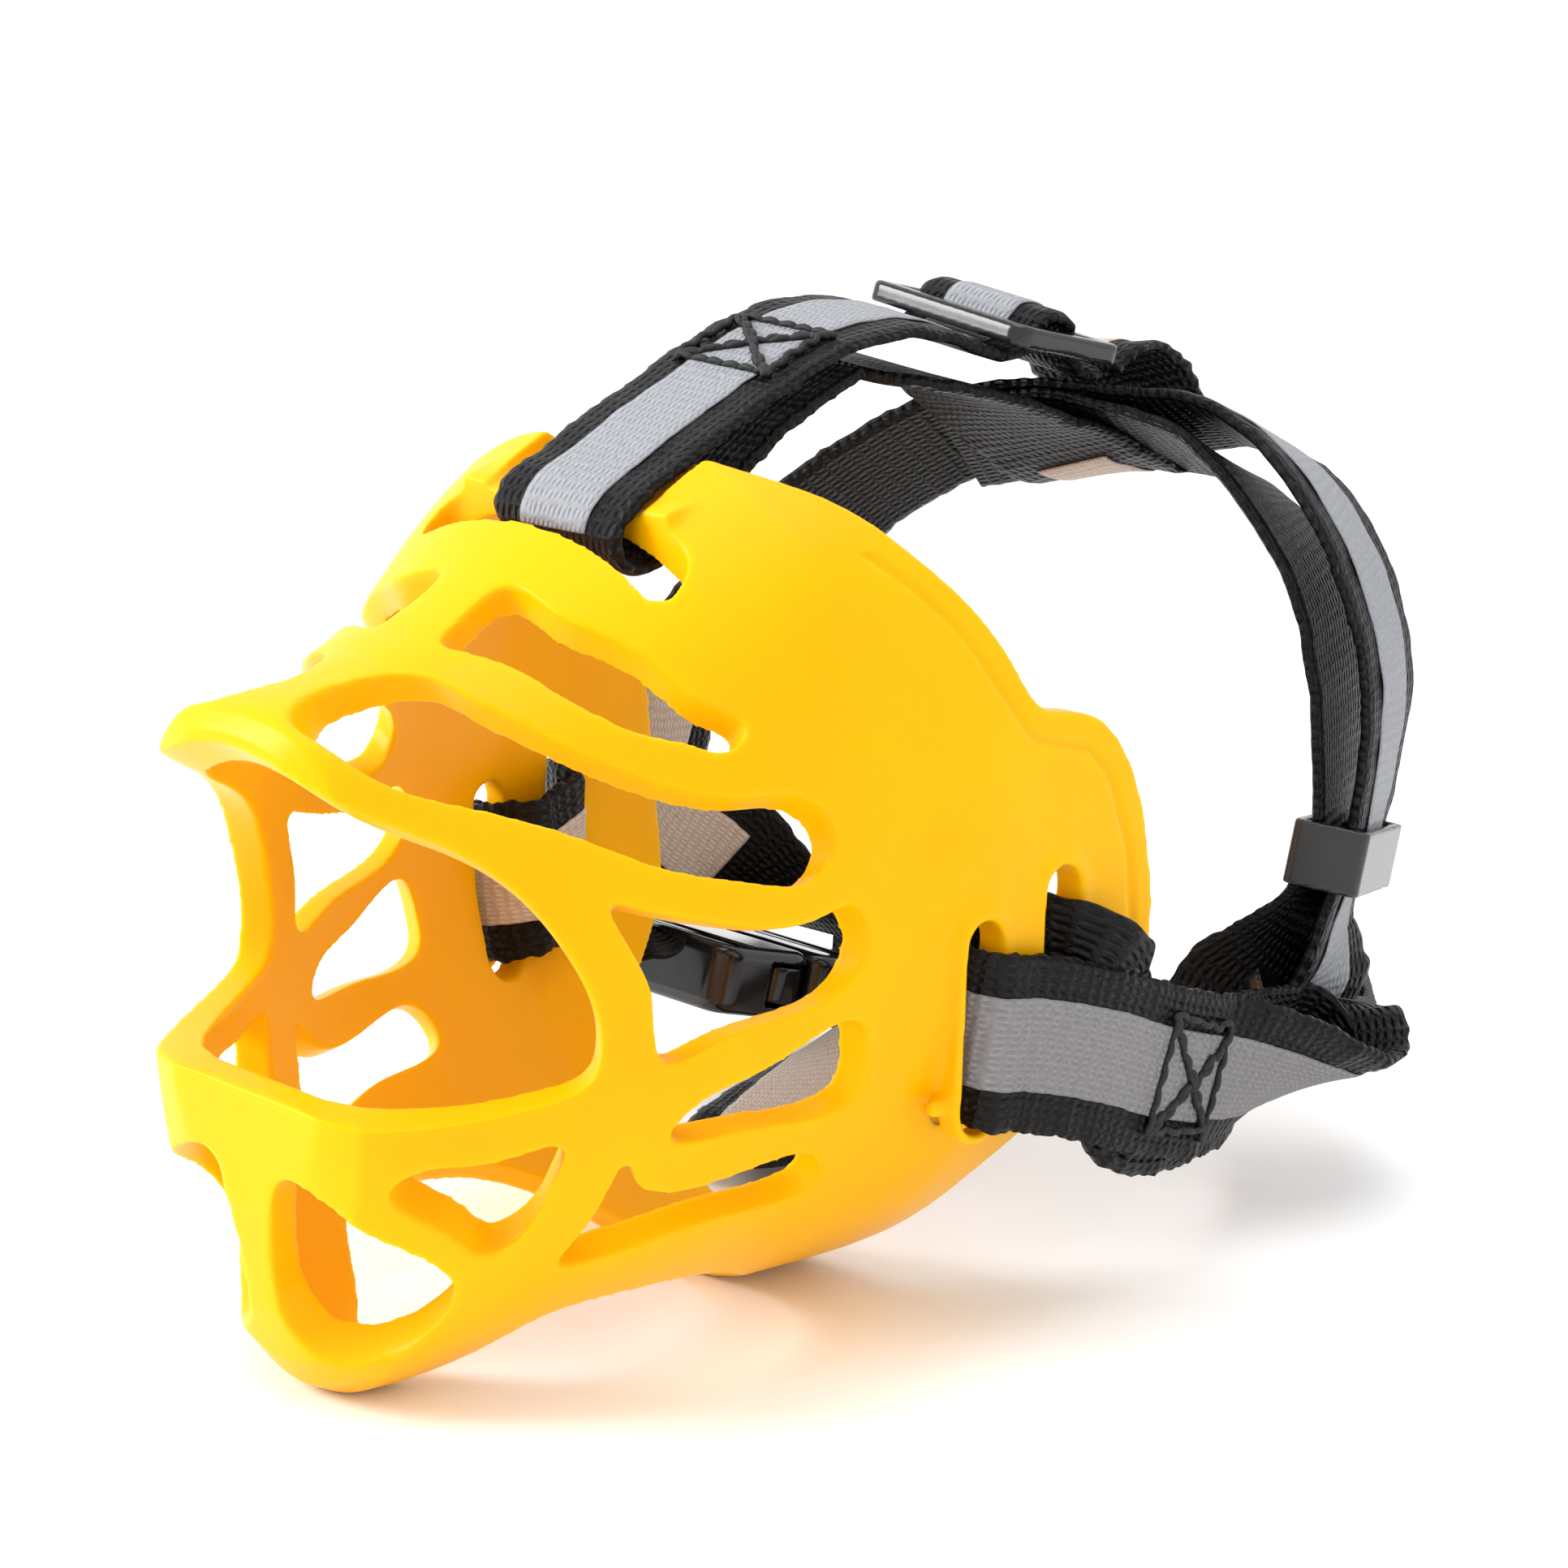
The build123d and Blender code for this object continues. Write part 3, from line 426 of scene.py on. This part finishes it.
def moulded(node_name, paint, voxel, rounds, shape=None, fills=(), move=(0, 0, 0)):
    """The CAD solid as a moulding with soft rounded edges, its pits filled at the places in fills."""
    source = frame["nodes"][node_name]
    copy = bpy.data.objects.new("copy_of_" + node_name, source.data.copy())
    bpy.context.scene.collection.objects.link(copy)
    copy.data.transform(Matrix.Translation(Vector(move) / 1000))
    if fills:
        bm = bmesh.new()
        bm.from_mesh(copy.data)
        for point, radius in fills:
            spot = Matrix.Translation(place(point))
            bmesh.ops.create_icosphere(bm, subdivisions=3, radius=radius / 1000, matrix=spot)
        bm.to_mesh(copy.data)
        bm.free()
    weld = copy.modifiers.new("weld", "WELD")
    weld.merge_threshold = 0.00001
    remesh = copy.modifiers.new("remesh", "REMESH")
    remesh.mode = "VOXEL"
    remesh.voxel_size = voxel / 1000
    bpy.context.view_layer.update()
    mesh = bpy.data.meshes.new_from_object(copy.evaluated_get(bpy.context.evaluated_depsgraph_get()))
    bpy.data.objects.remove(copy)
    mesh.name = node_name + "_moulding"
    points = np.zeros(len(mesh.vertices) * 3)
    mesh.vertices.foreach_get("co", points)
    points = points.reshape(-1, 3)
    edges = np.zeros(len(mesh.edges) * 2, int)
    mesh.edges.foreach_get("vertices", edges)
    edges = edges.reshape(-1, 2)
    points = relax(points, edges, rounds[0], 0.5)
    for _ in range(rounds[1]):
        points = relax(points, edges, 1, 0.6)
        points = relax(points, edges, 1, -0.63)
    if shape:
        mesh.vertices.foreach_set("co", points.ravel())
        mesh.update()
        normals = np.zeros(len(mesh.vertices) * 3)
        mesh.vertex_normals.foreach_get("vector", normals)
        points = relax(shape(points, normals.reshape(-1, 3)), edges, 1, 0.4)
    mesh.vertices.foreach_set("co", points.ravel())
    mesh.polygons.foreach_set("use_smooth", [True] * len(mesh.polygons))
    mesh.materials.clear()
    mesh.materials.append(paint)
    mesh.update()
    obj = bpy.data.objects.new(node_name + "_moulding", mesh)
    bpy.context.scene.collection.objects.link(obj)
    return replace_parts(obj, node_name)


# ---------------------------------------------------------------- basket
CREASE_FROM_RIM, CREASE_WIDTH, CREASE_DEPTH = 3.6, 0.55, 0.5
CREASE_LOW, CREASE_HIGH = 22, 90
WALL_TRIM = 0.22


def basket_lines(points, normals):
    """Trims the wall a little all over and presses the crease that follows the rear rim."""
    local = (points - np.array(SHIFT)) * 1000
    rim = np.array(RIM)
    fine = []
    for k in range(len(rim) - 1):
        fine += [rim[k] + (rim[k + 1] - rim[k]) * u for u in np.linspace(0, 1, 12, endpoint=False)]
    fine = np.array(fine)
    distance = np.full(len(points), 99.0)
    near = local[:, 1] > -32
    chosen = local[near][:, 1:]
    distance[near] = np.sqrt(((chosen[:, None, :] - fine[None, :, :]) ** 2).sum(2)).min(1)
    outward = normals[:, 0] * np.sign(local[:, 0]) > 0.35
    beside = outward & (local[:, 2] > CREASE_LOW) & (local[:, 2] < CREASE_HIGH)
    crease = np.where(beside, np.exp(-((distance - CREASE_FROM_RIM) / CREASE_WIDTH) ** 2), 0)
    push = -WALL_TRIM - CREASE_DEPTH * crease
    return points + normals * push[:, None] / 1000


# Small pits beside the lower ends of the front side slots are filled
pits = [((x, -15.2, 29.3), 1.3) for x in (41.6, -41.6)]
basket = moulded("basket", YELLOW, 0.4, (5, 14), basket_lines, pits)
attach(basket, "basket")

# ---------------------------------------------------------------- plastic fittings
fittings = (("overhead_slider", BLACK, "overhead_slider"), ("left_slider", BLACK, "left_slider"),
            ("strap_keeper", KEEPER, "keeper"), ("buckle_socket", BLACK, "harness"),
            ("buckle_plug", BLACK, "plug"), ("buckle_prong_left", BLACK, "prong_left"),
            ("buckle_prong_right", BLACK, "prong_right"))
for name, paint, body in fittings:
    # The near-side slider is drawn a little lower on the webbing, where the tab's end folds round it
    move = (2.5, 3.5, -4.5) if name == "left_slider" else (0, 0, 0)
    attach(moulded(name, paint, 0.28, (2, 4), move=move), body)

# ---------------------------------------------------------------- webbing
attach(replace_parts(band("neck_lining_web", LINING, WEBBING, 22.5, seed=31), "neck_lining"), "harness")
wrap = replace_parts(band("overhead_wrap_web", WRAP, WEBBING, seed=41, round_ends=(0, 9)), "overhead_wrap")
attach(wrap, "harness")
wrap_tape = tape("overhead_wrap_strip", WRAP, WARM_REFLECTION_TAPE, -1, (0.2, 6.4), 42)
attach(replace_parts(wrap_tape, "overhead_wrap_tape"), "harness")
tail = band("buckle_tail_web", BUCKLE_TAIL, WEBBING, seed=61, round_ends=(0, 9))
tail_patch = tape("buckle_tail_strip", BUCKLE_TAIL, WARM_REFLECTION_TAPE, 1, (2.6, 5.9), 62, 12, (3, 6))
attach(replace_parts(tail_patch, "buckle_tail"), "plug")
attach(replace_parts(tail, "buckle_tail"), "plug")

soft = [
    (band("overhead_web", OVERHEAD, WEBBING, seed=11), "overhead_strap", "overhead"),
    (tape("overhead_strip", OVERHEAD, TAPE, -1, (6.7, 24), 12), "overhead_tape", "overhead"),
    (box_stitch("overhead_thread", OVERHEAD, -1, (11.4, 12.4), 13), "overhead_stitching", "overhead"),
    (band("left_tab_web", LEFT_TAB, WEBBING, seed=21), "left_tab", "left"),
    (tape("left_tab_strip", LEFT_TAB, SHADED_TAB_TAPE, 1, (13.5, len(LEFT_TAB) - 1), 22), "left_tab_tape", "left"),
    (box_stitch("left_tab_thread", LEFT_TAB, 1, (18.0, 19.1), 23), "left_tab_stitching", "left"),
    (band("right_tab_web", RIGHT_TAB, WEBBING, seed=51), "right_tab", "right"),
    (tape("right_tab_strip", RIGHT_TAB, TAPE, -1, (8.4, 12), 52), "right_tab_tape", "right"),
    (box_stitch("right_tab_thread", RIGHT_TAB, -1, (10.2, 11.4), 53), "right_tab_stitching", "right"),
    (tape("right_tab_inside_strip", RIGHT_TAB, WARM_REFLECTION_TAPE, -1, (3, 8.2), 54), "right_tab_tape", "right"),
]
# Each piece hides the CAD nodes it replaces and has its placement baked into its mesh
for piece, cad_node, where in soft:
    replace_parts(piece, cad_node)
    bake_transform(piece)

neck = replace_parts(band("neck_web", NECK, WEBBING, seed=71), "neck_strap")
neck_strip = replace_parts(tape("neck_strip", NECK, TAPE, 1, (3.7, len(NECK) - 1), 72), "neck_tape")
neck_inside = tape("neck_inside_strip", NECK, WARM_REFLECTION_TAPE, -1, (2.6, 7), 73)
for piece in (neck, neck_strip, neck_inside):
    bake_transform(piece)


# ---------------------------------------------------------------- floor, light, camera
def floor():
    """Plain pale floor under the object."""
    mesh = bpy.data.meshes.new("floor")
    mesh.from_pydata([(-6, -6, 0), (6, -6, 0), (6, 6, 0), (-6, 6, 0)], [], [(0, 1, 2, 3)])
    m, _, _, bsdf = material("pale_floor")
    bsdf.inputs["Base Color"].default_value = (0.97, 0.97, 0.97, 1)
    bsdf.inputs["Roughness"].default_value = 0.9
    mesh.materials.append(m)
    obj = bpy.data.objects.new("floor", mesh)
    bpy.context.scene.collection.objects.link(obj)


def softbox(name, at, size, power, target=(0, 0.01, 0.05)):
    """Rectangular area light aimed at the object."""
    light = bpy.data.lights.new(name, "AREA")
    light.shape = "RECTANGLE"
    light.size, light.size_y = size
    light.energy = power
    obj = bpy.data.objects.new(name, light)
    obj.location = at
    obj.rotation_euler = (Vector(target) - Vector(at)).to_track_quat("-Z", "Y").to_euler()
    bpy.context.scene.collection.objects.link(obj)


floor()
softbox("key", (-0.75, -0.75, 0.6), (0.5, 0.5), 12.0)
softbox("side", (0.9, 0.25, 0.5), (0.5, 0.8), 0.3)
softbox("top", (0.0, 0.1, 1.1), (0.8, 0.8), 4.5)
world = bpy.data.worlds.new("studio")
world.use_nodes = True
world.node_tree.nodes["Background"].inputs["Color"].default_value = (1, 1, 1, 1)
world.node_tree.nodes["Background"].inputs["Strength"].default_value = 1.05
bpy.context.scene.world = world
bpy.context.scene.view_settings.view_transform = "Standard"

camera = bpy.data.cameras.new("camera")
camera.lens = 85
camera.sensor_width = 36
view = bpy.data.objects.new("camera", camera)
view.location = Vector((0.29983, -0.29667, 0.16833)) + SHIFT
view.rotation_euler = (math.radians(75), 0, math.radians(45))
bpy.context.scene.collection.objects.link(view)
bpy.context.scene.camera = view
